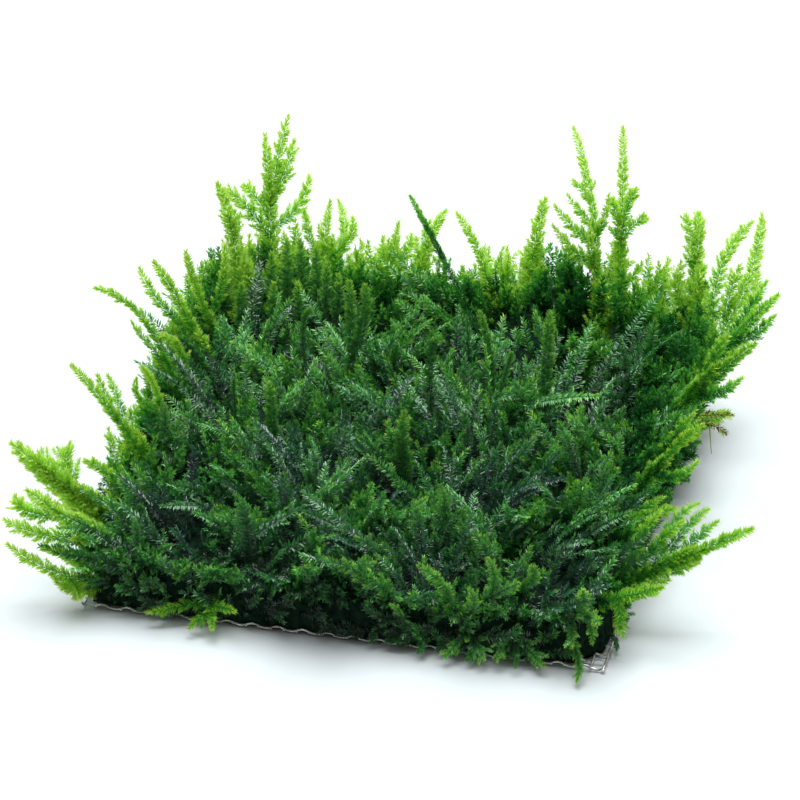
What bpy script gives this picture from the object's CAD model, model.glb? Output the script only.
"""A square mat of wet water moss grown on a pad of woven steel wire."""
import math

import bpy
import numpy as np
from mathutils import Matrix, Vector, noise


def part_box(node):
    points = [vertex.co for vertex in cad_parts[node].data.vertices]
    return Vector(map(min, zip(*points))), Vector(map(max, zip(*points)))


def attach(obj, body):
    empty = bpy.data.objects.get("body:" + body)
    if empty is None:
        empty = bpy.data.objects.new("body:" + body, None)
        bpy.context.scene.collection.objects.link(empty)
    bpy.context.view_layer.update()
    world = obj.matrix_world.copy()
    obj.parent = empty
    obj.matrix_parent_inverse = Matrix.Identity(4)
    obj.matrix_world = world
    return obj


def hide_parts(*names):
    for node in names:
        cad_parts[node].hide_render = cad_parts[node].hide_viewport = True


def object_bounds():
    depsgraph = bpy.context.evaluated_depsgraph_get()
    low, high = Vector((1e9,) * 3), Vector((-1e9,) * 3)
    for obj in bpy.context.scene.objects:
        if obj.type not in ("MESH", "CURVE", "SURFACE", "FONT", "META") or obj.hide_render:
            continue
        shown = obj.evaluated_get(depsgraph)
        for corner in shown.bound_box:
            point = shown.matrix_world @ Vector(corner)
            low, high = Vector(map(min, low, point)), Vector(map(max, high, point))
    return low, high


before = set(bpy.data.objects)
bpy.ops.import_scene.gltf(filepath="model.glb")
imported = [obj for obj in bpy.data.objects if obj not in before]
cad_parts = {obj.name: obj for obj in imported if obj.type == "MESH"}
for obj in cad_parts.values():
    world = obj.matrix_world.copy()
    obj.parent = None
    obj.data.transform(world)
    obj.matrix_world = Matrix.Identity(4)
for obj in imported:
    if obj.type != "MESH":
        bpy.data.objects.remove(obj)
cad_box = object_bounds()

# ---------- the surface and the light
# The mat lies on a glossy white table in a white room. The light comes from above and from
# behind, so the thin shoots at the edges are lit through and the front face stays dark.
MM = 0.001
TABLE_SIZE = 3.0
TABLE_DROP = 0.0002
TABLE_COLOUR = (0.615, 0.635, 0.645, 1.0)
ROOM_COLOUR = (0.97, 0.99, 1.0, 1.0)
ROOM_BRIGHT_SIDE = (-0.10, 0.80, 0.59)
ROOM_DARK_BELOW = -0.5  # the cosine off that side below which it is darkest
ROOM_DARKEST = 0.10
ROOM_BRIGHTEST = 0.82
LIGHT_PLACE = (-0.02, 0.13, 0.61)
LIGHT_SIZE = 0.50
LIGHT_WATTS = 7.5
LIGHT_COLOUR = (0.91, 0.97, 1.0)


def aim_at(obj, target):
    """Turns an object so that its -Z axis points at a target."""
    way = Vector(target) - obj.location
    obj.rotation_euler = way.to_track_quat("-Z", "Y").to_euler()


def new_material(name):
    """A material with its nodes, its links and its Principled shader."""
    material = bpy.data.materials.new(name)
    material.use_nodes = True
    nodes = material.node_tree.nodes
    return material, nodes, material.node_tree.links, nodes["Principled BSDF"]


def set_values(node, values):
    """Gives a node's input sockets these values, by name."""
    for socket, value in values.items():
        node.inputs[socket].default_value = value


bpy.ops.mesh.primitive_plane_add(size=TABLE_SIZE, location=(0, 0, -TABLE_DROP))
table = bpy.context.active_object
table.name = "table"
gloss_white, nodes, links, shader = new_material("gloss_white")
set_values(shader, {"Base Color": TABLE_COLOUR, "Roughness": 0.22})
table.data.materials.append(gloss_white)

bpy.context.scene.world = bpy.data.worlds.new("white_room")
room = bpy.context.scene.world
room.use_nodes = True
nodes, links = room.node_tree.nodes, room.node_tree.links
set_values(nodes["Background"], {"Color": ROOM_COLOUR})
around = nodes.new("ShaderNodeTexCoord")
toward = nodes.new("ShaderNodeVectorMath")
toward.operation = "DOT_PRODUCT"
toward.inputs[1].default_value = ROOM_BRIGHT_SIDE
links.new(around.outputs["Generated"], toward.inputs[0])
strength = nodes.new("ShaderNodeMapRange")
set_values(strength, {"From Min": ROOM_DARK_BELOW, "To Min": ROOM_DARKEST,
                      "To Max": ROOM_BRIGHTEST})
links.new(toward.outputs["Value"], strength.inputs["Value"])
links.new(strength.outputs["Result"], nodes["Background"].inputs["Strength"])

bpy.ops.object.light_add(type="AREA", location=LIGHT_PLACE)
soft_light = bpy.context.active_object
soft_light.name = "soft_light"
soft_light.data.size = LIGHT_SIZE
soft_light.data.energy = LIGHT_WATTS
soft_light.data.color = LIGHT_COLOUR
aim_at(soft_light, (0.0, 0.0, 0.0))
bpy.context.scene.view_settings.view_transform = "Standard"

# ---------- the camera
# It stands a little to the right of the front edge and looks down on the mat through a
# long lens, so that the far edge is hardly smaller than the near one.
CAMERA_TURN = 12.9  # degrees to the right of the front
CAMERA_RISE = 30.59  # degrees above the table
CAMERA_DISTANCE = 0.850
CAMERA_AIM = (-7.09 * MM, 30.48 * MM, 0.0)
CAMERA_LENS = 237.0  # in mm, as the sensor is
CAMERA_SENSOR = 36.0

turn, rise = math.radians(CAMERA_TURN), math.radians(CAMERA_RISE)
away = Vector((math.sin(turn) * math.cos(rise), -math.cos(turn) * math.cos(rise), math.sin(rise)))
bpy.ops.object.camera_add(location=Vector(CAMERA_AIM) + away * CAMERA_DISTANCE)
camera = bpy.context.active_object
camera.name = "camera"
camera.data.sensor_width = CAMERA_SENSOR
camera.data.lens = CAMERA_LENS
camera.data.clip_start = 0.01
camera.data.clip_end = 20.0
aim_at(camera, CAMERA_AIM)
bpy.context.scene.camera = camera

# ---------- the wire pad
# Drawn steel wires 0.36 mm thick are woven over and under each other, 41 openings each way.
# The pad is cut from a larger cloth, so the ends of the wires stand out all round.
CELLS = 41
PAD_LOW, PAD_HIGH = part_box("wire_mesh")
PAD_HALF = (PAD_HIGH[0] - PAD_LOW[0]) / 2
PITCH = 2 * PAD_HALF / CELLS
WIRE = 0.36 * MM
PAD_MIDDLE = 0.46 * MM
CRIMP_ACROSS = 0.28 * MM  # how far the side-to-side wires rise and fall
CRIMP_ALONG = -0.12 * MM  # the front-to-back wires, in the opposite phase
CUT_END = 0.30 * MM  # how far the cut ends stand out
CUT_RAGGED = 0.22 * MM  # how much they differ in length
RAGGED_SPACING = 1.7
RAGGED_ENDS = (4.2, 0.7)  # where the noise is read for the left and the right ends
INNER_ROWS = ((0.0, -PAD_HALF + 2 * PITCH, CELLS // 2), (PITCH, -PAD_HALF + PITCH, CELLS // 2))
EDGE_ROWS = ((0.0, -PAD_HALF, 1), (PITCH, PAD_HALF, 1))
SMOOTH_BELOW = math.radians(75)
STEEL_STAINS = ((0.36, (0.42, 0.40, 0.35)), (0.60, (0.88, 0.87, 0.83)))
MERGE_WITHIN = 0.01 * MM


def make_active(obj):
    """Selects one object alone."""
    bpy.ops.object.select_all(action="DESELECT")
    bpy.context.view_layer.objects.active = obj
    obj.select_set(True)


def apply_array(obj, count, step, merge):
    """Repeats a mesh at a fixed step."""
    array = obj.modifiers.new("array", "ARRAY")
    array.count = count
    array.use_relative_offset = False
    array.use_constant_offset = True
    array.constant_offset_displace = step
    array.use_merge_vertices = merge
    array.merge_threshold = MERGE_WITHIN
    make_active(obj)
    bpy.ops.object.modifier_apply(modifier=array.name)


def apply_place(obj):
    """Moves an object's place and turn into its mesh."""
    make_active(obj)
    bpy.ops.object.transform_apply(location=True, rotation=True, scale=True)


def woven_wires(crimp, shift, first, count, steps, sides):
    """Every second wire of one direction: one wave is drawn out of a circle, repeated along
    the wire, cut off at both edges of the pad and repeated across it."""
    waves = CELLS // 2 + 3
    bpy.ops.mesh.primitive_circle_add(vertices=sides, radius=WIRE / 2,
                                      rotation=(0, math.pi / 2, 0),
                                      location=(shift - waves * PITCH, 0, crimp))
    wire = bpy.context.active_object
    apply_place(wire)
    bpy.ops.object.mode_set(mode="EDIT")
    bpy.ops.mesh.select_all(action="SELECT")
    for step in range(steps):
        rise_now = math.cos(2 * math.pi * step / steps)
        rise_next = math.cos(2 * math.pi * (step + 1) / steps)
        way = (2 * PITCH / steps, 0, crimp * (rise_next - rise_now))
        bpy.ops.mesh.extrude_region_move(TRANSFORM_OT_translate={"value": way})
    bpy.ops.object.mode_set(mode="OBJECT")
    apply_array(wire, waves, (2 * PITCH, 0, 0), True)
    bpy.ops.object.mode_set(mode="EDIT")
    for way in (-1, 1):
        bpy.ops.mesh.select_all(action="SELECT")
        bpy.ops.mesh.bisect(plane_co=(way * (PAD_HALF + CUT_END), 0, 0), plane_no=(way, 0, 0),
                            use_fill=True, clear_outer=True)
    bpy.ops.mesh.select_all(action="SELECT")
    bpy.ops.mesh.normals_make_consistent(inside=False)
    bpy.ops.object.mode_set(mode="OBJECT")
    wire.location = (0, first, PAD_MIDDLE)
    apply_place(wire)
    if count > 1:
        apply_array(wire, count, (0, 2 * PITCH, 0), False)
    return wire


def wire_cloth(name, crimp, turned, rows, steps, sides):
    """Some wires of one direction as one piece, with ragged ends. rows holds the phase, the
    place of the first wire and the number of wires."""
    parts = [woven_wires(crimp, shift, first, count, steps, sides) for shift, first, count in rows]
    make_active(parts[0])
    for part in parts[1:]:
        part.select_set(True)
    bpy.ops.object.join()
    wires = bpy.context.active_object
    wires.name = name
    for vert in wires.data.vertices:
        if abs(vert.co.x) > PAD_HALF + CUT_END / 2:
            end = RAGGED_ENDS[vert.co.x > 0]
            along = vert.co.y / PITCH * RAGGED_SPACING
            ragged = noise.noise(Vector((end, along, crimp / WIRE)))
            vert.co.x += math.copysign(CUT_RAGGED * ragged, vert.co.x)
    if turned:
        wires.rotation_euler = (0, 0, math.pi / 2)
        apply_place(wires)
    make_active(wires)
    bpy.ops.object.shade_smooth_by_angle(angle=SMOOTH_BELOW)
    return wires


def colour_ramp(nodes, links, source, stops):
    """A colour ramp with these stops, fed by a socket."""
    ramp = nodes.new("ShaderNodeValToRGB")
    while len(ramp.color_ramp.elements) < len(stops):
        ramp.color_ramp.elements.new(0.5)
    for element, (position, colour) in zip(ramp.color_ramp.elements, stops):
        element.position = position
        element.color = (*colour, 1.0)
    links.new(source, ramp.inputs["Fac"])
    return ramp.outputs["Color"]


def noise_value(nodes, links, scale, detail=2.0):
    """A noise pattern fixed to the object."""
    place = nodes.new("ShaderNodeTexCoord")
    pattern = nodes.new("ShaderNodeTexNoise")
    set_values(pattern, {"Scale": scale, "Detail": detail})
    links.new(place.outputs["Object"], pattern.inputs["Vector"])
    return pattern.outputs["Fac"]


steel, nodes, links, shader = new_material("woven_steel")
stains = noise_value(nodes, links, scale=900.0, detail=4.0)
links.new(colour_ramp(nodes, links, stains, STEEL_STAINS), shader.inputs["Base Color"])
set_values(shader, {"Metallic": 1.0, "Roughness": 0.33})

# name, crimp, turned to run the other way, rows, steps of one wave, sides of the wire
for name, crimp, turned, rows, steps, sides in (
        ("front_to_back_wires", CRIMP_ALONG, True, INNER_ROWS, 4, 4),
        ("side_to_side_wires", CRIMP_ACROSS, False, INNER_ROWS, 4, 4),
        ("front_to_back_edge_wires", CRIMP_ALONG, True, EDGE_ROWS, 10, 8),
        ("side_to_side_edge_wires", CRIMP_ACROSS, False, EDGE_ROWS, 10, 8)):
    piece = wire_cloth(name, crimp, turned, rows, steps, sides)
    piece.data.materials.append(steel)
    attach(piece, "root")
    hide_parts("wire_mesh")

# ---------- the moss leaf and stem
# A shoot is a thin stem with a comb of lance-shaped leaves down its right and left and fewer
# on its front and back. Each leaf is one cell layer thick and folded along its midrib.
LEAF_LENGTH = 1.20 * MM
LEAF_WIDTH = 0.34 * MM
LEAF_FOLD = 0.045 * MM  # how far the midrib lies below the leaf's edges
LEAF_NOD = 0.16 * MM  # how far the leaf's tip curves back
LEAF_WIDEST = 0.13  # how far its widest place lies below its middle, as a share
LEAF_GAP = 0.155 * MM  # stem between one leaf and the next
LEAF_CROWDING = 0.92  # below 1, so the leaves are closer to each other at the tip
LEAF_TURNS = np.radians((0, 180, 60, 0, 180, 120, 0, 180, 275))
TURN_SPREAD = 0.26  # how much their turns round the stem vary, in radians
OPEN_SPREAD = 0.15
FLATTENED = 0.55  # how far front and back leaves stand out beside the others
TIP_PART = 2.2  # leaf lengths below the tip where leaves are young and closed
TIP_OPEN = 0.40  # how far the last leaf opens beside a full-grown one
TIP_SIZE = 0.72
LEAF_SIZES = (0.78, 1.12)
YOUNGEST = 0.84  # the tint of the palest leaf
OLDER_FROM = 0.87  # the tints of old leaves start here
TINT_RISE = 1.3
TINT_SPREAD = 0.06
DAMP_SPREAD = 0.22
LEAF_TINTS = (0.75, 0.5)  # its tint at its foot, and how much more at its tip, as shares
STEM_RADIUS = 0.08 * MM
STEM_STEP = 2.0 * MM
STEM_SIDES = 3
STEM_TAPER = 0.6
BRANCH_LENGTHS = (0.6, 1.15)
BRANCH_KNEE = (0.30, 0.38)  # its middle, along and away from the stem, as shares of it
BRANCH_END = (0.80, 0.62)
BRANCH_SLANT = 0.25
BRANCH_FACING = 0.3
BRANCH_LEAF = 0.82  # leaf size beside that on the stem
BRANCH_TINTS = (0.9, 0.75)  # at its root, and how near its tip comes to the shoot's tip
BRANCH_PALER = 0.02
LOWEST = 1.0 * MM  # no side branch hangs lower

bpy.ops.mesh.primitive_circle_add(vertices=4, radius=0.5, fill_type="NGON", location=(0, 0.5, 0))
leaf = bpy.context.active_object
leaf.name = "leaf_pattern"
apply_place(leaf)
leaf.scale = (LEAF_WIDTH, LEAF_LENGTH, 1.0)
apply_place(leaf)


def select_vertices(obj, wanted):
    """Selects the vertices that a test picks, in edit mode."""
    bpy.ops.object.mode_set(mode="EDIT")
    bpy.ops.mesh.select_mode(type="VERT")
    bpy.ops.mesh.select_all(action="DESELECT")
    bpy.ops.object.mode_set(mode="OBJECT")
    for vert in obj.data.vertices:
        vert.select = wanted(vert.co)
    bpy.ops.object.mode_set(mode="EDIT")


select_vertices(leaf, lambda co: abs(co.x) < 0.1 * LEAF_WIDTH)
bpy.ops.mesh.vert_connect()
select_vertices(leaf, lambda co: abs(co.x) > 0.1 * LEAF_WIDTH)
bpy.ops.transform.translate(value=(0, -LEAF_WIDEST * LEAF_LENGTH, LEAF_FOLD))
select_vertices(leaf, lambda co: co.y > 0.9 * LEAF_LENGTH)
bpy.ops.transform.translate(value=(0, 0, -LEAF_NOD))
bpy.ops.object.mode_set(mode="OBJECT")
LEAF_POINTS = np.array([vert.co[:] for vert in leaf.data.vertices])
LEAF_FACES = np.array([face.vertices[:] for face in leaf.data.polygons])
LEAF_ALONG = np.clip(LEAF_POINTS[:, 1] / LEAF_LENGTH, 0.0, 1.0)
bpy.data.objects.remove(leaf)


def unit(vectors):
    """Vectors scaled to length one."""
    return vectors / np.maximum(np.linalg.norm(vectors, axis=-1, keepdims=True), 1e-12)


def bent(root, tip, bend):
    """The point that a stem is drawn towards, off the middle of its chord by bend, to the
    right and upward."""
    return (root + tip) / 2 + np.array((bend[0], 0.0, bend[1])) * MM


def arc(root, middle, tip, t):
    """Places and directions along the curve that leaves root towards middle and ends at tip."""
    t = np.asarray(t, float)[:, None]
    places = root * (1 - t) ** 2 + middle * (2 * t * (1 - t)) + tip * t ** 2
    ways = (middle - root) * (2 * (1 - t)) + (tip - middle) * (2 * t)
    return places, unit(ways)


class Growth:
    """The leaves and stems of one piece of moss, gathered as arrays and made one mesh."""

    def __init__(self, name, seed, slim=1.0):
        self.name = name
        self.slim = slim
        self.rng = np.random.default_rng(seed)
        self.leaves = []
        self.stems = []

    def shoot(self, root, middle, tip, tint, facing, size=1.0, bare=0.0, wet=0.3, gap=1.0):
        """One leafy stem. tint is its colour at the root and at the tip, facing is the side
        that its flat front looks to, and bare is the part of it below the first leaf."""
        rng = self.rng
        length = float(np.linalg.norm(middle - root) + np.linalg.norm(tip - middle)) * 0.97
        count = max(8, int(length * (1 - bare) / (LEAF_GAP * gap * size)))
        index = np.arange(count)
        t = bare + (1 - bare) * ((index + rng.uniform(0, 0.7, count)) / count) ** LEAF_CROWDING
        places, ways = arc(root, middle, tip, np.minimum(t, 0.995))
        front = unit(facing - ways * (ways @ facing)[:, None])
        side = np.cross(ways, front)
        turn = LEAF_TURNS[index % len(LEAF_TURNS)] + rng.normal(0, TURN_SPREAD, count)
        across, ahead = np.cos(turn), np.sin(turn)
        out = unit(side * across[:, None] + front * (FLATTENED * ahead)[:, None])
        grown = np.clip((1 - t) * length / (LEAF_LENGTH * size) / TIP_PART, 0.0, 1.0)
        opened = TIP_OPEN + (1 - TIP_OPEN) * grown
        spread = opened * (FLATTENED + (1 - FLATTENED) * np.abs(across))
        spread += rng.normal(0, OPEN_SPREAD, count)
        axis = ways * np.cos(spread)[:, None] + out * np.sin(spread)[:, None]
        inner = ways * np.sin(spread)[:, None] - out * np.cos(spread)[:, None]
        mixed = front * np.abs(across)[:, None] + inner * (0.35 + 0.65 * np.abs(ahead))[:, None]
        face = unit(mixed - axis * np.sum(mixed * axis, axis=1)[:, None])
        scale = size * (TIP_SIZE + (1 - TIP_SIZE) * grown) * rng.uniform(*LEAF_SIZES, count)
        hue = tint[0] + (tint[1] - tint[0]) * t ** TINT_RISE + rng.normal(0, TINT_SPREAD, count)
        damp = np.clip(wet + rng.normal(0, DAMP_SPREAD, count), 0.0, 1.0)
        old = tint[0] > YOUNGEST
        hue = np.clip(hue, OLDER_FROM if old else 0.0, 1.0 if old else YOUNGEST)
        self.leaves.append(np.column_stack((places, axis, face, scale, hue, damp)))

    def stem(self, root, middle, tip, tint, radius=STEM_RADIUS, end=1.0):
        """The stem itself, a thin tapering tube."""
        rings = max(3, int(np.linalg.norm(tip - root) / STEM_STEP) + 1)
        t = np.linspace(0.0, end, rings)
        places, ways = arc(root, middle, tip, t)
        sideways = unit(np.cross(ways, (0.3, 0.8, 0.15)))
        radii = radius * (1 - STEM_TAPER * t)
        self.stems.append((places, sideways, np.cross(ways, sideways), radii, tint))

    def plume(self, root, middle, tip, tint, facing, size=1.0, bare=0.0, wet=0.3, first=0.3,
              last=0.8, every=2.2 * MM, reach=4.0 * MM, shorten=0.5, old=0.10, gap=1.0):
        """A feather-like shoot: a leafy stem whose side branches, as long as reach, leave it
        right and left in turn between first and last and get shorter towards its tip. old
        is the stem's tint."""
        rng = self.rng
        self.stem(root, middle, tip, old)
        self.shoot(root, middle, tip, tint, facing, size, bare, wet, gap)
        length = float(np.linalg.norm(tip - root))
        count = int((last - first) * length / every)
        for number in range(count):
            place = first + (last - first) * (number + rng.uniform(0.1, 0.9)) / count
            fork, way = arc(root, middle, tip, [place])
            front = unit(facing - way[0] * (way[0] @ facing))
            side = np.cross(way[0], front) * (1 if number % 2 else -1)
            shorter = 1 - shorten * (place - first) / (last - first)
            branch = reach * shorter * rng.uniform(*BRANCH_LENGTHS)
            slant = front * rng.normal(0, BRANCH_SLANT)
            along, away = BRANCH_KNEE
            knee = fork[0] + (way[0] * along + side * away + slant * along) * branch
            along, away = BRANCH_END
            end = fork[0] + (way[0] * along + side * away + slant) * branch
            knee[2], end[2] = max(knee[2], LOWEST), max(end[2], LOWEST)
            light = tint[0] + (tint[1] - tint[0]) * place
            palest = light + BRANCH_TINTS[1] * (tint[1] - light) + BRANCH_PALER
            self.shoot(fork[0], knee, end, (light * BRANCH_TINTS[0], palest),
                       unit(front + side * rng.normal(0, BRANCH_FACING)), size * BRANCH_LEAF,
                       0.0, wet, gap)

    def plume_at(self, root, tip, bend, tint, facing, **look):
        """A plume between two places in mm, bent off its chord."""
        root, tip = np.array(root) * MM, np.array(tip) * MM
        self.plume(root, bent(root, tip, bend), tip, tint, facing, **look)

    def mesh(self, material):
        """Joins all leaves and stems in one mesh. The UV map holds the look: U is the tint and
        V is how wet the leaf is."""
        table = np.concatenate(self.leaves)
        place, axis, front, scale, own, damp = np.split(table, (3, 6, 9, 10, 11), axis=1)
        side = np.cross(axis, front)
        local = LEAF_POINTS[None] * (self.slim, 1.0, 1.0) * scale[:, :, None]
        made = (place[:, None] + local[..., 0:1] * side[:, None] + local[..., 1:2] * axis[:, None]
                + local[..., 2:3] * front[:, None])
        per = len(LEAF_POINTS)
        points = [made.reshape(-1, 3)]
        faces = [(LEAF_FACES[None] + np.arange(len(table))[:, None, None] * per).reshape(-1, 3)]
        along = np.minimum(own * (LEAF_TINTS[0] + LEAF_TINTS[1] * LEAF_ALONG)[None], YOUNGEST)
        tints = [np.where(own > YOUNGEST, own, along).ravel()]
        damps = [np.repeat(damp, per)]
        start = len(points[0])
        corner = np.arange(STEM_SIDES)
        turns = (corner * 2 * math.pi / STEM_SIDES)[:, None]
        for places, sideways, upward, radii, tint in self.stems:
            ring = sideways[:, None] * np.cos(turns) + upward[:, None] * np.sin(turns)
            rows = np.arange(len(places) - 1)[:, None] * STEM_SIDES
            low = (rows + corner).reshape(-1)
            low_next = (rows + (corner + 1) % STEM_SIDES).reshape(-1)
            lower = np.stack((low, low_next, low_next + STEM_SIDES), 1)
            upper = np.stack((low, low_next + STEM_SIDES, low + STEM_SIDES), 1)
            points.append((places[:, None] + ring * radii[:, None, None]).reshape(-1, 3))
            faces.append(np.concatenate((lower, upper)) + start)
            tints.append(np.full(len(points[-1]), tint))
            damps.append(np.zeros(len(points[-1])))
            start += len(points[-1])
        points = np.clip(np.concatenate(points), cad_box[0], cad_box[1])
        faces = np.concatenate(faces)
        uv = np.column_stack((np.clip(np.concatenate(tints), 0.0, 1.0), np.concatenate(damps)))
        mesh = bpy.data.meshes.new(self.name)
        mesh.vertices.add(len(points))
        mesh.vertices.foreach_set("co", points.ravel())
        mesh.loops.add(faces.size)
        mesh.loops.foreach_set("vertex_index", faces.ravel().astype(np.int32))
        mesh.polygons.add(len(faces))
        mesh.polygons.foreach_set("loop_start", np.arange(0, faces.size, 3, dtype=np.int32))
        mesh.polygons.foreach_set("use_smooth", np.ones(len(faces), dtype=bool))
        mesh.update()
        mesh.uv_layers.new(name="OFBake").data.foreach_set("uv", uv[faces.ravel()].ravel())
        mesh.validate()
        mesh.materials.append(material)
        piece = bpy.data.objects.new(self.name, mesh)
        bpy.context.scene.collection.objects.link(piece)
        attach(piece, "root")
        return piece


# Tints from the dark blue-green inside of the mat to yellow-green young tips, then the
# olive and brown of old stems. The glow is what shines through a leaf.
SKIN_STOPS = (
    (0.00, (0.003, 0.013, 0.008)), (0.22, (0.014, 0.095, 0.026)), (0.45, (0.065, 0.370, 0.050)),
    (0.68, (0.420, 0.740, 0.060)), (0.84, (0.680, 0.900, 0.200)), (0.90, (0.180, 0.170, 0.040)),
    (1.00, (0.140, 0.075, 0.028)))
GLOW_STOPS = (
    (0.00, (0.006, 0.050, 0.012)), (0.22, (0.035, 0.270, 0.040)), (0.45, (0.190, 0.640, 0.060)),
    (0.68, (0.680, 0.960, 0.110)), (0.84, (0.900, 0.990, 0.400)), (0.90, (0.260, 0.230, 0.045)),
    (1.00, (0.180, 0.085, 0.032)))
DRY_ROUGHNESS = 0.42
WET_ROUGHNESS = 0.09
GLOSS_FROM = 0.2  # how wet a leaf is where it starts to shine
WATER_TINT = (0.050, 0.095, 0.115, 1.0)
FILM_FROM = 0.6  # how wet it is where the water on it starts to show
WATER_FILM = 0.42  # how much of it shows on the wettest leaf


def moss_material(name, see_through, specular):
    """Wet leaf: a tinted skin, glossier where it is wet, that also lets light through."""
    material, nodes, links, shader = new_material(name)
    uv = nodes.new("ShaderNodeUVMap")
    uv.uv_map = "OFBake"
    split = nodes.new("ShaderNodeSeparateXYZ")
    links.new(uv.outputs["UV"], split.inputs["Vector"])
    filmed = nodes.new("ShaderNodeMapRange")
    set_values(filmed, {"From Min": FILM_FROM, "To Max": WATER_FILM})
    links.new(split.outputs["Y"], filmed.inputs["Value"])
    skin = nodes.new("ShaderNodeMix")
    skin.data_type = "RGBA"
    skin.inputs["B"].default_value = WATER_TINT
    links.new(filmed.outputs["Result"], skin.inputs["Factor"])
    links.new(colour_ramp(nodes, links, split.outputs["X"], SKIN_STOPS), skin.inputs["A"])
    links.new(skin.outputs["Result"], shader.inputs["Base Color"])
    gloss = nodes.new("ShaderNodeMapRange")
    set_values(gloss, {"From Min": GLOSS_FROM, "To Min": DRY_ROUGHNESS, "To Max": WET_ROUGHNESS})
    links.new(split.outputs["Y"], gloss.inputs["Value"])
    links.new(gloss.outputs["Result"], shader.inputs["Roughness"])
    set_values(shader, {"Specular IOR Level": specular})
    glow = nodes.new("ShaderNodeBsdfTranslucent")
    links.new(colour_ramp(nodes, links, split.outputs["X"], GLOW_STOPS), glow.inputs["Color"])
    both = nodes.new("ShaderNodeMixShader")
    set_values(both, {"Fac": see_through})
    links.new(shader.outputs["BSDF"], both.inputs[1])
    links.new(glow.outputs["BSDF"], both.inputs[2])
    links.new(both.outputs["Shader"], nodes["Material Output"].inputs["Surface"])
    return material


# The leaves of the mat are darker and wetter. The thin ones at its edges let more light through.
wet_moss = moss_material("wet_moss", see_through=0.30, specular=0.9)
wet_shoots = moss_material("wet_shoots", see_through=0.62, specular=0.25)

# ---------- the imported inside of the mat
# The moss has grown through the pad as one mat. Below its short shoots it is packed, dark
# and dead, a felt of old stems that fills the pad up to its edge wires.
PACKED_HALF = 39.7 * MM
PACKED_LOW = 0.35 * MM
PACKED_TOP = 9.0 * MM
PACKED_CELLS = 44
PACKED_RINGS = 3  # rows of faces down its walls
PACKED_PLACES = (-40, -30, 0, 20, 28, 40)
PACKED_BACK = (5, 6, 5, 8, 8, 6)  # how far it rises at the back edge, at these places
SIDES_RISE = 5.0 * MM
FRONT_FALL = 2.7 * MM
CORNER_FALL = 3.0 * MM  # the front left corner is lower still
BACK_FROM, SIDES_FROM, FRONT_FROM = 0.72, 0.80, 0.85  # the share of the way out where
CORNER_FROM = (0.8, 0.6)  # each of these starts
TOP_DRAWN_IN = 0.05
CORNERS_DRAWN_IN = 0.02
BARE_FROM = 36.0 * MM  # the front right corner is bare beyond this, both ways
BARE_CUT = 0.55
FELT_SPACING = 1.6 * MM
FELT_DEPTH = 0.5 * MM
FELT_SEED = 3  # without it the vector noise is seeded from the clock
FELT_TINTS = ((0.35, (0.005, 0.011, 0.008)), (0.62, (0.013, 0.032, 0.018)))


def share_past(value, start):
    """How far a value has come from start to 1, and 0 before it."""
    return max(0.0, value - start) / (1 - start)


def packed_height(x, y):
    """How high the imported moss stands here: it rises to the back and sides and falls to the
    front edge."""
    right, back = x / PACKED_HALF, y / PACKED_HALF
    hedge = np.interp(x / MM, PACKED_PLACES, PACKED_BACK) * MM * share_past(back, BACK_FROM)
    sides = SIDES_RISE * share_past(abs(right), SIDES_FROM) * max(0.0, back)
    front = FRONT_FALL * share_past(-back, FRONT_FROM)
    corner = CORNER_FALL * share_past(-right, CORNER_FROM[0]) * share_past(-back, CORNER_FROM[1])
    return PACKED_TOP + max(hedge, sides) - front - corner


bpy.ops.mesh.primitive_grid_add(x_subdivisions=PACKED_CELLS, y_subdivisions=PACKED_CELLS,
                                size=2 * PACKED_HALF, location=(0, 0, PACKED_TOP))
packed_moss = bpy.context.active_object
packed_moss.name = "packed_moss"
apply_place(packed_moss)
bpy.ops.object.mode_set(mode="EDIT")
bpy.ops.mesh.select_all(action="SELECT")
down = (0, 0, (PACKED_LOW - PACKED_TOP) / PACKED_RINGS)
for _ in range(PACKED_RINGS):
    bpy.ops.mesh.extrude_region_move(TRANSFORM_OT_translate={"value": down})
bpy.ops.mesh.select_all(action="SELECT")
bpy.ops.mesh.normals_make_consistent(inside=False)
bpy.ops.object.mode_set(mode="OBJECT")
noise.seed_set(FELT_SEED)
for vert in packed_moss.data.vertices:
    x, y, z = vert.co
    rough = noise.noise_vector(Vector((x, y, z)) / FELT_SPACING) * FELT_DEPTH
    high = (z - PACKED_LOW) / (PACKED_TOP - PACKED_LOW)
    drawn_in = 1 - TOP_DRAWN_IN * high ** 2 - CORNERS_DRAWN_IN * (x * y / PACKED_HALF ** 2) ** 4
    bare = 0.0
    if x > BARE_FROM and y < -BARE_FROM:
        bare = BARE_CUT * max(0.0, x - y - BARE_FROM - PACKED_HALF)
    at_foot, at_top = high < 0.1, high > 0.9
    vert.co.x = x * drawn_in - bare + (0.0 if at_foot else rough.x)
    vert.co.y = y * drawn_in + bare + (0.0 if at_foot else rough.y)
    if at_top:
        vert.co.z = packed_height(x, y) + 3 * rough.z
dark_moss, nodes, links, shader = new_material("packed_moss")
felt = noise_value(nodes, links, scale=1100.0)
links.new(colour_ramp(nodes, links, felt, FELT_TINTS), shader.inputs["Base Color"])
set_values(shader, {"Roughness": 0.8, "Specular IOR Level": 0.0})
packed_moss.data.materials.append(dark_moss)
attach(packed_moss, "root")
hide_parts("moss_cushion")

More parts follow.
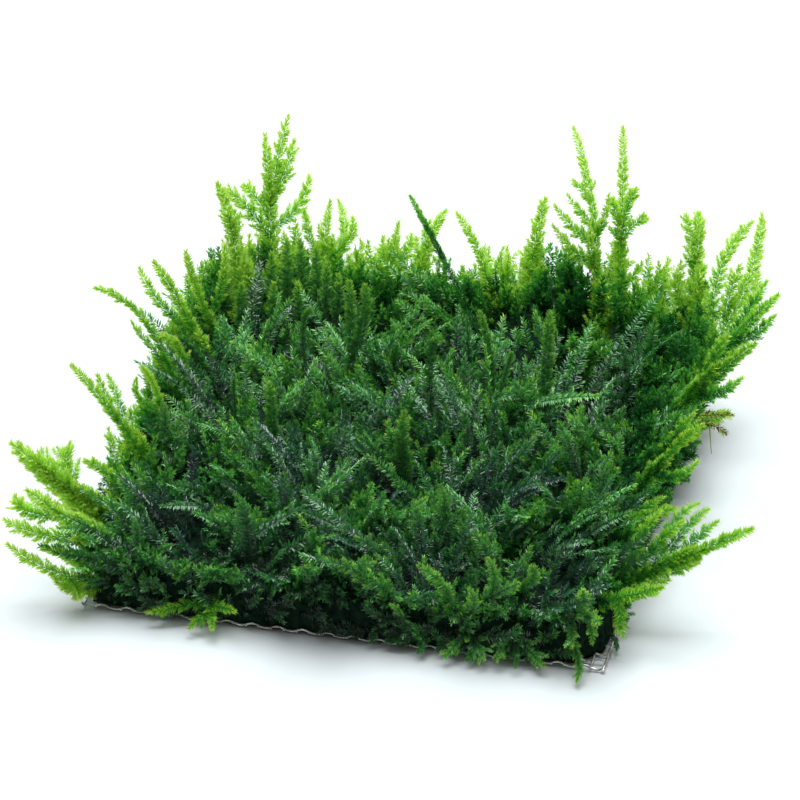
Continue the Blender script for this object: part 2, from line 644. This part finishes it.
# ---------- the lawn of short shoots
# The top of the mat is a lawn of short feathery shoots. They stand in lumps with dark gaps
# between them, lean outward near the edges and catch the light with their tips.
LAWN_STEP = 2.08 * MM
LAWN_HALF = 38.0 * MM
LAWN_DEEP = 2.5 * MM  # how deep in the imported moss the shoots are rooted
LAWN_HIGH = 7.9 * MM
LAWN_LUMP = 6.5 * MM  # how much the lumps add to it
HEIGHT_SPREAD = 1.3 * MM
TALL_SHARE = 0.27  # of the shoots, which are taller, narrower and coarser
TALL_HEIGHT, SHORT_HEIGHT = 1.3, 0.95
TALL_REACH, SHORT_REACH = 2.3 * MM, 3.3 * MM
FRONT_SHORTER, FRONT_SHORTER_FROM = 1.0 * MM, 0.8
LAWN_SWAY = 1.4
LEAN_OUT = (0.34, 0.24)  # how far they lean outward at the sides, and front and back
LEAN_SPREAD = 0.22
LAWN_MIDDLE = (0.4, 0.4, 1.0)  # a shoot is upright at first and leans further up
MIDDLE_HEIGHT = 0.55
# What varies smoothly over the lawn: the length it changes over and where the noise is read.
LUMPS, SWAY_RIGHT, SWAY_BACK = (7 * MM, 3.7), (10 * MM, 8.1), (10 * MM, 15.3)
DAMPNESS, SHADES = (8 * MM, 21.4), (6 * MM, 5.2)
FINE_PLACE = (2.0 * MM, -16.0 * MM)  # the middle of the part with the finest leaves
FINE_REACH = (36.0 * MM, 28.0 * MM)
FINE_LEAF, OUTER_LEAF, TALL_LEAF, LEAF_VARIES = 0.66, 0.26, 0.10, 0.12
WET_PLACES = ((0, -34), (9, -36), (31, -33), (15, -11), (20, 5), (-9, -3), (-24, -26))
WET_REACH = 7.0  # in mm, as those places are
WET_MOST = 0.75
DAMP_FINE, DAMP_OUTER, DAMP_PATCHES = 0.46, -0.25, 0.9
BACK_DRY_FROM, BACK_DRYING = 10.0 * MM, 14.0  # the back half is drier
SHADE_USUAL, SHADE_PATCHES, SHADE_SPREAD = 0.27, 0.42, 0.06
SHADE_DAMP, DAMP_USUAL = -0.18, 0.4
ROOT_SHADE, TIP_LIGHTER, TIP_LIGHTEST = 0.3, 0.18, 0.52
LAWN_FACING = (0.07, -0.45, 0.85)
FACING_SPREAD, FACING_DRY = 0.30, 0.25  # how much that varies, and what dryness adds to it
LAWN_EVERY, LAWN_LEAF = 1.2 * MM, 0.7  # the gap between side branches at that leaf size
LAWN_PLUME = {"bare": 0.15, "gap": 0.85, "first": 0.25, "last": 0.8, "shorten": 0.35}


def field(x, y, size, shift):
    """A smooth random value from about -0.6 to 0.6 that changes over a length of size."""
    return noise.noise(Vector((x / size + shift, y / size - shift, shift * 1.7)))


def water(x, y):
    """How wet the nearest puddle makes the moss here."""
    near = min(math.hypot(x / MM - wet_x, y / MM - wet_y) for wet_x, wet_y in WET_PLACES)
    return WET_MOST * math.exp(-(near / WET_REACH) ** 2)


lawn = {}
for row_name, back in (("front", 0), ("back", 1)):
    for column_name, right in (("left", 0), ("right", 1)):
        lawn[right, back] = Growth(f"lawn_{row_name}_{column_name}", seed=20 + 2 * back + right)
rng = np.random.default_rng(seed=11)
steps = int(2 * LAWN_HALF / LAWN_STEP)
for column in range(steps):
    for row in range(steps):
        x = (column + rng.uniform(0.1, 0.9)) * LAWN_STEP - LAWN_HALF
        y = (row + rng.uniform(0.1, 0.9)) * LAWN_STEP - LAWN_HALF
        if x > BARE_FROM and y < -BARE_FROM:
            continue
        sway = np.array((field(x, y, *SWAY_RIGHT), field(x, y, *SWAY_BACK), 0.0)) * LAWN_SWAY
        outward = np.array((LEAN_OUT[0] * x, LEAN_OUT[1] * y, 0.0)) / LAWN_HALF
        lean = sway + outward + np.array((0, 0, 1.0))
        lean += np.array((*rng.normal(0, LEAN_SPREAD, 2), 0.0))
        root = np.array((x, y, packed_height(x, y) - LAWN_DEEP))
        height = LAWN_HIGH + LAWN_LUMP * field(x, y, *LUMPS) + rng.normal(0, HEIGHT_SPREAD)
        tall = rng.uniform() < TALL_SHARE
        height *= TALL_HEIGHT if tall else SHORT_HEIGHT
        height -= FRONT_SHORTER * share_past(-y / LAWN_HALF, FRONT_SHORTER_FROM)
        tip = root + lean * height
        middle = root + (lean * LAWN_MIDDLE) * height * MIDDLE_HEIGHT
        outer = min(1.0, math.hypot((x - FINE_PLACE[0]) / FINE_REACH[0],
                                    (y - FINE_PLACE[1]) / FINE_REACH[1]))
        damp = DAMP_FINE + DAMP_OUTER * outer + DAMP_PATCHES * field(x, y, *DAMPNESS)
        damp += water(x, y) - BACK_DRYING * max(0.0, y - BACK_DRY_FROM)
        shade = SHADE_USUAL + SHADE_PATCHES * field(x, y, *SHADES)
        shade += SHADE_DAMP * (damp - DAMP_USUAL) + rng.normal(0, SHADE_SPREAD)
        loose = FACING_SPREAD + FACING_DRY * min(1.0, max(0.0, 1.1 - damp))
        facing = unit(np.array((rng.normal(LAWN_FACING[0], loose),
                                rng.normal(LAWN_FACING[1], loose), LAWN_FACING[2])))
        size = FINE_LEAF + OUTER_LEAF * outer ** 1.5 + LEAF_VARIES * rng.uniform()
        size += TALL_LEAF * tall
        tint = (shade * ROOT_SHADE, min(shade + TIP_LIGHTER, TIP_LIGHTEST))
        lawn[int(x > 0), int(y > 0)].plume(
            root, middle, tip, tint, facing, size=size, wet=damp,
            every=LAWN_EVERY * size / LAWN_LEAF, reach=TALL_REACH if tall else SHORT_REACH,
            **LAWN_PLUME)

# Single shoots that stand out of the lawn: root, tip, how the middle is bent, leaf size.
LONE_SHOOTS = (
    ((-25, -4, 9), (-25, -6, 22.5), (-0.5, 4), 0.5),
    ((17, -24, 8), (27, -24, 18), (4, -1), 1.5),
    ((-16, 8, 9), (-16, 8, 28), (-3, 9), 0.7),
    ((4, 6, 9), (5, 6, 26.5), (-2.5, 9), 1),
    ((12, 2, 9), (17, 2, 28), (2, 7), 0.6),
    ((-30, 30, 9), (-30, 31, 20.5), (-1, 1), 1.2),
    ((-28, 31, 9), (-28.5, 32, 23.5), (-0.5, 1), 1.2),
    ((-26, 32, 9), (-26.3, 33, 25.5), (0, 1), 1.3),
    ((-24, 32, 9), (-24, 33, 26), (0.5, 1), 1.3),
    ((-21.5, 32, 9), (-21.5, 33, 25), (0.5, 1), 1.2),
    ((-20, 31, 9), (-19.5, 32, 23), (0.5, 1), 1.1),
    ((-18, 31, 9), (-17.5, 32, 21), (0.5, 1), 1.1),
    ((-32, 27, 9), (-32.5, 28, 19.5), (-0.5, 1), 1.2),
    ((-27, 26, 9), (-27, 27, 21), (0, 1), 1.2),
    ((-23, 26, 9), (-23, 27, 21.5), (0.5, 1), 1.2),
    ((-35, 29, 9), (-36, 31, 21), (-0.5, 1), 1.2),
)
LONE_TINT, LONE_BACK_TINT = (0.16, 0.48), (0.20, 0.62)
LONE_BACK = 25.0  # those rooted beyond this are the brighter ones at the back
LONE_FACING = unit(np.array((0.3, -0.8, 0.5)))
LONE_LEAF = 0.85
LONE_REACH = 1.8 * MM
LONE_PLUME = {"wet": 0.25, "gap": 0.6, "first": 0.2, "last": 0.85, "every": 1.4 * MM}
for root, tip, bend, size in LONE_SHOOTS:
    tint = LONE_BACK_TINT if root[1] > LONE_BACK else LONE_TINT
    lawn[int(root[0] > 0), int(root[1] > 0)].plume_at(
        root, tip, bend, tint, LONE_FACING, size=size * LONE_LEAF, reach=LONE_REACH * size,
        **LONE_PLUME)

for growth in lawn.values():
    piece = growth.mesh(wet_moss)
    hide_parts("moss_cushion")

# ---------- the fringe
# Along the edges the shoots lean out over the pad, where they have more light and grow
# longer, brighter and thinner. Along the front they are short, dark and hang over the wire.
FRINGE_HALF = 37.5  # all places and lengths of the fringe are in mm
BARE_CORNER = 33
FRINGE_PLACES = (-38, -30, -20, -10, 0, 10, 20, 30, 38)
FRINGES = {
    # name: outward, along, then at the places along it the reach beyond the pad and the
    # height, the tint at root and tip, how thickly it grows, how much further low ones reach
    "fringe_left": ((-1, 0, 0), (0, 1, 0), (-1, -1.5, -1, 1, 1.5, 0, 1, 1.5, 1),
                    (9, 11, 15, 17, 18.5, 19.5, 20, 21, 21.5), (0.14, 0.66), 1.15, 1.3),
    "fringe_right": ((1, 0, 0), (0, 1, 0), (0, 1.5, 0.5, -0.5, 1.5, 3.5, 4, 3.5, 2),
                     (9, 12, 13, 14, 16, 19, 21, 23, 24), (0.03, 0.42), 1.3, 0.5),
    "fringe_back": ((0, 1, 0), (1, 0, 0), (2, 4, 4, 4, 4, 4, 5, 5, 4),
                    (22, 25, 24, 24, 22.5, 25, 30, 25, 24), (0.12, 0.80), 2.0, 1.3),
    "fringe_front": ((0, -1, 0), (1, 0, 0), (0, 1, 1, 1, 1, 1, 1, 0, -2),
                     (12, 12, 11, 10, 9, 10, 11, 10, 8), (0.11, 0.47), 1.5, 0.0),
}
SHADED_PLACES = (-6, -2, 1, 5, 12, 15, 21, 25)  # along the back edge
SHADED = (1.0, 0.7, 0.7, 1.0, 1.0, 0.65, 0.65, 1.0)
FELT_PLACES = (-17, -12, 5, 10)  # along the front edge, a dark felt
FELT_SHADED = (1.0, 0.55, 0.55, 1.0)
THIN_FROM, THIN_TO, THIN_KEPT = -10, 5, 3  # where one low shoot in three is kept there
# Shoots that arch over the front edge: root, tip, how the middle is bent, leaf size.
FRONT_SHOOTS = (
    ((10, -38, 3), (-2, -41.5, 15), (5, 1), 1.1),
    ((2.5, -40.5, 12.5), (4, -41.5, 16), (0, -1.5), 1),
    ((8, -38, 2.5), (12.5, -42, 16), (12, -1.5), 1.2),
    ((1, -38, 4), (8, -42, 8.5), (8.5, -2.5), 0.7),
    ((17, -37.5, 4), (22.5, -41, 18), (6, 0), 1.2),
    ((22, -39, 9.5), (27.5, -42, 15), (0.5, 0.5), 1.1),
    ((14, -38, 3), (20, -42, 13), (5.5, -1), 1.1),
    ((22, -35, 6), (28.5, -38, 15.5), (5, 1), 1.2),
    ((27, -35, 3.5), (37, -42, 15), (6, 0.5), 1.2),
    ((31, -34.5, 5), (39, -43, 10.5), (5.5, 1.5), 1.1),
    ((35, -34, 8), (38.4, -41, 5.5), (1, 2), 1),
    ((33, -36, 7), (35.5, -42, 5), (1, 2), 0.9),
    ((19.5, -38, 3.5), (16.8, -43.8, 1.5), (0.5, 1), 0.9),
    ((19, -39, 2.5), (22.7, -43.5, 1.8), (0.5, 0.8), 0.8),
    ((26, -38, 4), (24.7, -43.6, 1.8), (-0.8, 1), 0.8),
    ((26, -39, 3), (31.5, -43, 1.7), (0.5, 0.6), 0.85),
    ((31, -35, 5), (37, -45, 1), (3.5, 0.5), 0.9),
    ((9, -36.5, 4), (12.5, -43, 1.4), (3, 1), 0.7),
    ((17, -36.5, 4), (20, -43.5, 1.4), (3.5, 1), 0.65),
    ((24, -36.5, 4), (27.5, -44, 1.4), (2, 1), 0.7),
    ((-31, -36, 4), (-15, -41, 9.5), (1.5, 2), 1),
    ((-33, -35, 5), (-26, -40, 13), (-1.5, -0.5), 1),
    ((-28, -38, 5), (-45.4, -43.6, 12.2), (0, 0.5), 1.1),
    ((-31, -37, 6), (-31.6, -40, 16.5), (-0.5, 0), 1),
    ((-15, -35, 8), (-15.5, -38, 21), (0, 0.5), 1.1),
    ((-36, -37, 3), (-36.8, -41, 9), (-0.5, -0.5), 0.9),
    ((-36, -35, 4), (-41.5, -41, 9.5), (-0.5, 1), 0.9),
    ((-35, -37, 3), (-38.5, -42, 5.5), (0, 1), 0.8),
    ((-32, -37, 3), (-34, -42, 5), (0.5, 1), 0.8),
    ((-30, -37, 3), (-27, -42, 6), (0.5, 1), 0.8),
)
FRONT_TINT, DIM_TINT = (0.28, 0.54), (0.12, 0.40)
HANGING_BELOW = 3.0
DIM_LEAF = 0.75  # hanging shoots with smaller leaves are dim
FRONT_LEAVES = (0.6, 1.0)
FRONT_REACHES = (1.8, 3.0)
LOW_PLUMES = np.linspace(6, 30, 20)  # places of low dark shoots over the wire
LOW_TINT = (0.04, 0.26)
FRONT_FACING = unit(np.array((0.2, -0.9, 0.35)))
FRINGE_ROWS = (
    # number of shoots, inset of their roots, root height, share of the reach, share of the
    # height, share of the tint
    (40, (5.0, 9.0), 9.0, (-1.6, -0.4), (0.66, 0.92), 0.45),
    (44, (3.0, 7.0), 8.0, (-1.2, 0.6), (0.70, 0.92), 0.80),
    (44, (1.0, 4.0), 6.0, (0.0, 1.0), (0.72, 1.0), 1.0),
    (30, (0.5, 2.0), 3.5, (0.3, 1.1), (0.30, 0.65), 0.9),
    (24, (0.3, 1.5), 2.0, (0.2, 0.9), (0.12, 0.30), 0.8),
)
LOW_ROOTS, HIGH_ROOTS = 4, 7  # which rows are the low ones and which stand in the lawn
LOWEST_TIP, LOWEST_MIDDLE = 1.8, 1.2 * MM
FRINGE_SWAY, LOW_FRONT_SWAY = 1.8, 4.0
FRINGE_MIDDLE = 0.55
FRINGE_BOW = (0.16, -0.06)  # how far it bows outward and up, as shares of its length
FRINGE_LEAVES = (0.85, 1.15)
FRINGE_REACH, REACH_GROWS = 2.0 * MM, 0.12
FRINGE_WET = 0.3
FRINGE_PLUME = {"gap": 0.9, "first": 0.25, "last": 0.9, "every": 1.5 * MM, "shorten": 0.45}
up = np.array((0.0, 0.0, 1.0))
for number, (name, side_values) in enumerate(FRINGES.items()):
    outward, along, reach, rise, tint, thick, further = side_values
    growth = Growth(name, seed=40 + number)
    rng = growth.rng
    outward, along = np.array(outward, float), np.array(along, float)
    front = name == "fringe_front"
    for count, inset, low, out_share, up_share, tint_share in FRINGE_ROWS:
        count = int(count * thick)
        for plant in range(count):
            place = (2 * (plant + rng.uniform(0.0, 1.0)) / count - 1) * FRINGE_HALF
            if front and place > BARE_CORNER or name == "fringe_right" and place < -BARE_CORNER:
                continue
            low_front = front and low < LOW_ROOTS
            if low_front and THIN_FROM < place < THIN_TO and plant % THIN_KEPT:
                continue
            out_here = np.interp(place, FRINGE_PLACES, reach) * rng.uniform(*out_share)
            outside = PAD_HALF / MM + (out_here + (further if low < LOW_ROOTS else 0))
            high = np.interp(place, FRINGE_PLACES, rise) * rng.uniform(*up_share)
            inside = PAD_HALF / MM - rng.uniform(*inset)
            root = (outward * inside + along * place + up * low) * MM
            there = place + rng.normal(0, LOW_FRONT_SWAY if low_front else FRINGE_SWAY)
            tip = (outward * outside + along * there + up * max(LOWEST_TIP, high)) * MM
            span = np.linalg.norm(tip - root)
            middle = root * (1 - FRINGE_MIDDLE) + tip * FRINGE_MIDDLE
            middle += (outward * FRINGE_BOW[0] + up * FRINGE_BOW[1]) * span
            middle[2] = max(middle[2], LOWEST_MIDDLE)
            facing = unit(np.array((rng.normal(0.2, 0.5), -0.8 + rng.normal(0, 0.4), 0.5)))
            light = rng.uniform(-0.06, 0.05)
            shaded = 1.0
            if name == "fringe_back":
                shaded = np.interp(place, SHADED_PLACES, SHADED)
            elif front and low < HIGH_ROOTS:
                shaded = np.interp(place, FELT_PLACES, FELT_SHADED)
            light -= tint[1] * tint_share * (1 - shaded)
            wet = FRINGE_WET * shaded + (water(*tip[:2]) if low > HIGH_ROOTS else 0.0)
            growth.plume(root, middle, tip, [light + shade * tint_share for shade in tint], facing,
                         size=rng.uniform(*FRINGE_LEAVES), wet=wet,
                         reach=FRINGE_REACH + REACH_GROWS * span, **FRINGE_PLUME)
    if front:
        for root, tip, bend, size in FRONT_SHOOTS:
            hanging = tip[2] < HANGING_BELOW
            facing = unit(np.array((rng.normal(0.2, 0.5 if hanging else 0.1), -0.9, 0.35)))
            dim = hanging and size < DIM_LEAF or root[0] < 0
            growth.plume_at(root, tip, bend, DIM_TINT if dim else FRONT_TINT, facing,
                            size=size * rng.uniform(*FRONT_LEAVES), wet=0.1, gap=0.5, first=0.2,
                            last=0.9, every=1.0 * MM, reach=rng.uniform(*FRONT_REACHES) * MM)
        for place in LOW_PLUMES:
            tip = (place + rng.normal(0, 3), -41.3 - rng.uniform(0, 0.9), 1.4)
            growth.plume_at((place, -38.0, 3.5), tip, (0, 1), LOW_TINT, FRONT_FACING, size=0.8,
                            wet=0.1, gap=0.7, first=0.2, last=0.9, every=1.1 * MM, reach=2.0 * MM)
    piece = growth.mesh(wet_moss if front else wet_shoots)
    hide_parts("moss_cushion")

# ---------- the long shoots
# Each is one branched plant, rooted in the mat, that has grown out of it to the light. It is
# paler than the mat, dry, and thick with narrow leaves.
LONG_SHOOTS = {
    # name: root, tip, how its middle is bent to the right and upward, leaf size, and then its
    # side branches with their place on the stem, their tip and their bend, all in mm
    "tall_shoot_back_left": ((-30, 34, 8), (-32.5, 44, 39), (1.5, 1), 1.35, [
        (0.6, (-29, 46.5, 41.5), (-1, -1.5)), (0.62, (-28, 46, 37.5), (1, 0)),
        (0.5, (-25.5, 45.5, 31.5), (2.5, -1.5)), (0.55, (-36, 42, 30), (-0.5, 2.5)),
        (0.46, (-38, 38, 31), (-0.5, 2.5))]),
    "broad_shoot_back_left": ((-33, 28.5, 8), (-38.5, 36, 33.5), (2, 5.5), 1.4, [
        (0.45, (-37, 32.5, 21.5), (0.5, -1)), (0.55, (-35.5, 35, 29.5), (1, 0.5))]),
    "low_shoot_back_left": ((-23, 35, 8), (-21.5, 43.5, 28.5), (0, 0.5), 1.1, [
        (0.35, (-21, 45.5, 27.5), (5, 0.5)), (0.45, (-25.5, 41.5, 27), (-1, 2.5)),
        (0.5, (-18, 43, 26), (4, 0.5))]),
    "back_shoot_left": ((-11, 35, 8), (-10, 42.5, 26.5), (-0.5, 0.5), 1.3, [
        (0.42, (-12.5, 42.5, 23.5), (-1, 0.5)), (0.45, (-8, 43, 24), (1.5, 1.5))]),
    "leaning_shoot_back": ((6, 30, 14), (-7, 36, 35), (-1.5, 4.5), 0.7, [
        (0.45, (-5.5, 34.5, 33.5), (0.5, -0.5))]),
    "back_shoot_middle": ((-6.5, 37, 8), (-2.5, 45, 28), (-2, 5.5), 1.1, [
        (0.45, (-5, 44, 26.5), (-0.5, 0.5))]),
    "slanting_shoot_back": ((8.5, 34, 8), (-0.5, 41, 30), (2.5, 4.5), 1, [
        (0.45, (7.5, 41.5, 24.5), (0, -2)), (0.4, (5, 42, 24), (-0.5, -0.5))]),
    "back_shoot_centre": ((13, 36, 8), (13.5, 45.5, 32), (-2, 2.5), 1.4, [
        (0.45, (10.5, 43, 24), (0, -0.5))]),
    "tall_shoot_back_right_inner": ((24, 31, 8), (17, 48, 44), (4.5, 4), 1.2, [
        (0.66, (18, 43, 37), (0, 0.5)), (0.56, (17.5, 41, 35.5), (0.5, -1.5)),
        (0.5, (16, 38, 35), (0.5, -2.5)), (0.42, (16, 37, 32), (0, -3)),
        (0.52, (24.5, 41, 36.5), (0.5, -1.5)), (0.38, (22, 38, 32.5), (-0.5, -2.5))]),
    "tall_shoot_back_right_outer": ((27, 34, 8), (25, 49, 44.5), (1, 0.5), 1.2, [
        (0.57, (28.5, 45, 35.5), (0, 3)), (0.53, (30.5, 44, 30.5), (1, 3)),
        (0.36, (30, 42.5, 24), (0.5, -2)), (0.5, (24.5, 43, 34.5), (-0.5, 3.5))]),
    "corner_shoot_back_right": ((37.5, 33, 8), (38.5, 43.5, 33.5), (2, 7.5), 1.35, [
        (0.5, (36.5, 42.5, 33.5), (0.5, 1)), (0.3, (37, 38, 27.5), (-2.5, -2))]),
    "outward_shoot_back_right": ((37, 27, 8), (48.5, 44.5, 34), (7, 0.5), 1.4, [
        (0.3, (47.5, 44, 32.5), (-4.5, 3.5)), (0.4, (46.5, 38, 28), (-1, 0))]),
    "right_shoot_back": ((37, 20, 8), (54.5, 27, 29.5), (2.5, 4.5), 1.25, [
        (0.4, (52, 31, 29.5), (1, 1.5)), (0.5, (54.5, 24, 27.5), (1, -1))]),
    "right_shoot_wide": ((37, 11, 7), (53, 14.5, 27.5), (2, 5.5), 1.25, [
        (0.4, (52, 9, 24.5), (0, -2)), (0.4, (48.5, 16, 27.5), (0, 2.5))]),
    "right_shoot_middle": ((37, 2, 7), (51, 4.5, 20.5), (1, 5), 1.2, [
        (0.4, (46, 1, 22), (-2, -2))]),
    "right_shoot_low": ((37, -8, 7), (48.5, -5.5, 24), (-1, 3), 1.1, [
        (0.4, (48.5, -9.5, 20), (0, -3.5))]),
    "right_shoot_short": ((36.5, -15, 6), (46.5, -15.5, 14.5), (-0.5, 3), 1.1, [
        (0.35, (44, -13, 15), (-1.5, 0))]),
    "long_shoot_front_right": ((36, -28, 5), (60, -27, 20), (4, 3), 1.15, [
        (0.45, (54, -22, 17.5), (-0.5, 1)), (0.32, (52, -19, 17.5), (0.5, 3.5)),
        (0.3, (50, -16, 16.5), (-2, 3)), (0.12, (45.5, -24, 19.5), (-0.5, 2)),
        (0.16, (49, -24, 18), (0, 2)), (0.25, (52, -28, 13.5), (0, -1)),
        (0.12, (48, -29, 10.5), (0.5, -0.5))]),
    "front_right_shoot": ((34.5, -32.5, 6), (48, -35, 13), (2, 0.5), 1.3, [
        (0.4, (42.5, -38, 5), (0, -0.5))]),
    "thick_shoot_front_left": ((-35, -32, 8), (-52, -36.5, 25.5), (-0.5, 0.5), 1.9, [
        (0.42, (-45, -30.5, 22), (-1.5, 2)), (0.62, (-48.5, -33.5, 22), (-0.5, 0.5))]),
    "forked_shoot_front_left": ((-35, -36, 6), (-48, -42, 21), (-0.5, 1), 1.5, [
        (0.35, (-52, -41.5, 15), (0, -3)), (0.62, (-49, -43.5, 21), (-3.5, -3))]),
    "trailing_shoot_front_left": ((-36, -37.5, 3), (-51, -43.5, 12), (-0.5, -3.5), 1.2, [
        (0.4, (-39.5, -44, 3.5), (1, 0)), (0.2, (-45.5, -44, 12), (3.5, 2))]),
    "left_shoot_short": ((-35, -24, 8), (-43.5, -27, 17.5), (-1, 4), 1.1, [
        (0.35, (-41, -21, 20.5), (0, 1.5))]),
    "left_shoot_long": ((-35, -15, 8), (-47.5, -18.5, 29.5), (0.5, 2), 1, [
        (0.45, (-44.5, -14.5, 26), (-0.5, 0)), (0.38, (-44, -11, 24), (0.5, 1.5))]),
    "left_shoot_middle": ((-35, -7, 8), (-38.5, -11, 26), (1, 4.5), 0.75, [
        (0.35, (-40, -7.5, 22), (-3.5, -2))]),
    "left_shoot_outward": ((-35, 3, 8), (-51, 6.5, 28.5), (3, 10.5), 1.1, [
        (0.25, (-45, 6.5, 23.5), (-1, 0.5))]),
    "left_shoot_back_inner": ((-34, 14, 8), (-43.5, 14.5, 30), (1, 4), 1.15, [
        (0.4, (-46.5, 17, 27.5), (-1.5, -2.5))]),
    "left_shoot_back": ((-33, 22, 8), (-39.5, 20, 29.5), (-2, 1.5), 1.05, [
        (0.35, (-34.5, 25, 28.5), (2, 1))]),
    "middle_shoot_pair": ((-11, 14, 9), (-12, 16.5, 29.5), (0, 1.5), 1.05, [
        (0.3, (-9, 14, 30.5), (2, 1.5))]),
    "middle_shoot_right": ((20, 12, 9), (21, 12, 30.5), (0, 1.5), 1.1, []),
    "middle_shoot_centre": ((11.5, 15, 9), (9, 15, 27.5), (1, 3.5), 0.75, []),
    "middle_shoot_front": ((3.5, -12, 9), (3.5, -12.5, 24.5), (-1, 0.5), 1.3, [
        (0.3, (0.5, -11, 21.5), (-0.5, -0.5))]),
    "middle_shoot_left": ((-20, -6, 9), (-19.5, -6.5, 23), (1.5, 0.5), 1.1, []),
    "front_sprig": ((-21, -36, 6), (-18.5, -45.5, 2), (0, -0.5), 1, [
        (0.6, (-22.5, -45, 1.5), (0, 0)), (0.55, (-15, -44, 5), (0, 0.5)),
        (0.4, (-29.5, -43.5, 2.5), (0, -0.5))]),
}
OLD_FRONDS = (((46, 3, 20), (51.2, 3.5, 20.5)), ((46, 3, 19), (50.6, 3, 17.5)))
OLD_TINT = (0.89, 0.92)
OLD_PLUME = {"size": 0.75, "wet": 0.1, "gap": 0.6, "every": MM, "reach": 1.8 * MM, "old": 0.98}
BARE_STALK = ((47.8, 3.0, 19.0), (48.3, 3.0, 13.5))
STALK_TINT, STALK_THICK = 0.87, 1.6
# How many more shoots grow beside each stem, by the first word of its name, and how far up.
COMPANIONS = {"thick": (7, 0.85), "forked": (4, 0.8), "trailing": (2, 0.7), "long": (4, 0.7),
              "right": (2, 0.7), "outward": (2, 0.7), "corner": (2, 0.6), "tall": (1, 0.4),
              "broad": (2, 0.7), "low": (2, 0.6), "back": (2, 0.6), "left": (1, 0.6)}
COMPANIONS_FROM = 0.35
COMPANIONS_ASIDE = 1.4 * MM
LONG_TINTS = {"middle": (0.22, 0.56), "right": (0.20, 0.68), "long": (0.26, 0.74),
              "broad": (0.60, 0.84), "leaning": (0.15, 0.60), "front": (0.45, 0.66),
              "left": (0.40, 0.82)}
LONG_TINT = (0.52, 0.84)
TIP_INSET = 0.5 * MM
BUSHY_FROM = 1.3  # shoots with larger leaves than this are bushy up to their tip
LONG_LEAF = 0.92  # leaf size on a long shoot of size 1
LONG_SLIM = 0.80  # how much narrower its leaves are than the mat's
LONG_LOOK = {"wet": 0.2, "gap": 0.44, "old": 0.42}
LONG_REACH, BUSHY_REACH, BRANCH_REACH = 1.9 * MM, 2.4 * MM, 1.8 * MM
STEM_EVERY, BESIDE_EVERY, BRANCH_EVERY = 0.9 * MM, 1.3 * MM, 1.1 * MM
for number, (name, (root, tip, bend, size, branches)) in enumerate(LONG_SHOOTS.items()):
    growth = Growth(name + "_leaves", seed=100 + number, slim=LONG_SLIM)
    rng = growth.rng
    facing = unit(np.array((rng.normal(0.2, 0.2), -0.85, 0.5 + rng.normal(0, 0.2))))
    root, tip = np.array(root) * MM, np.array(tip) * MM
    middle = bent(root, tip, bend)
    tip = tip - unit(tip - middle) * TIP_INSET
    bushy = size > BUSHY_FROM
    kind = name.split("_")[0]
    tint = LONG_TINTS.get(kind, LONG_TINT)
    leaf_size = LONG_LEAF * min(size, 0.8 + 0.25 * size)
    growth.plume(root, middle, tip, tint, facing, size=leaf_size, first=0.08,
                 last=0.94 if bushy else 0.85, every=STEM_EVERY / size,
                 reach=(BUSHY_REACH if bushy else LONG_REACH) * size,
                 shorten=0.7 if bushy else 0.5, **LONG_LOOK)
    beside, furthest = COMPANIONS.get(kind, (0, 0))
    for _ in range(beside):
        on_stem, way = arc(root, middle, tip, [rng.uniform(COMPANIONS_FROM, furthest)])
        aside = unit(np.cross(way[0], facing)) * rng.uniform(-1.0, 1.0)
        end = on_stem[0] + aside * COMPANIONS_ASIDE * size
        growth.plume(root, bent(root, end, bend), end, tint, facing, size=leaf_size * 0.9,
                     first=0.15, last=0.9, every=BESIDE_EVERY / size, reach=BRANCH_REACH * size,
                     **LONG_LOOK)
    for place, end, branch_bend in branches:
        fork = arc(root, middle, tip, [place])[0][0]
        end = np.array(end) * MM
        knee = bent(fork, end, branch_bend)
        end = end - unit(end - knee) * TIP_INSET
        growth.plume(fork, knee, end, tint, facing, size=leaf_size * 0.95, first=0.1,
                     last=0.9 if bushy else 0.75, every=BRANCH_EVERY / size,
                     reach=BRANCH_REACH * size, **LONG_LOOK)
    if name == "right_shoot_middle":
        for root, tip in OLD_FRONDS:
            growth.plume_at(root, tip, (1, 0.5), OLD_TINT, facing, **OLD_PLUME)
        root, tip = np.array(BARE_STALK) * MM
        growth.stem(root, (root + tip) / 2, tip, STALK_TINT, radius=STALK_THICK * STEM_RADIUS)
    piece = growth.mesh(wet_moss if kind == "middle" else wet_shoots)
    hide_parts(name)
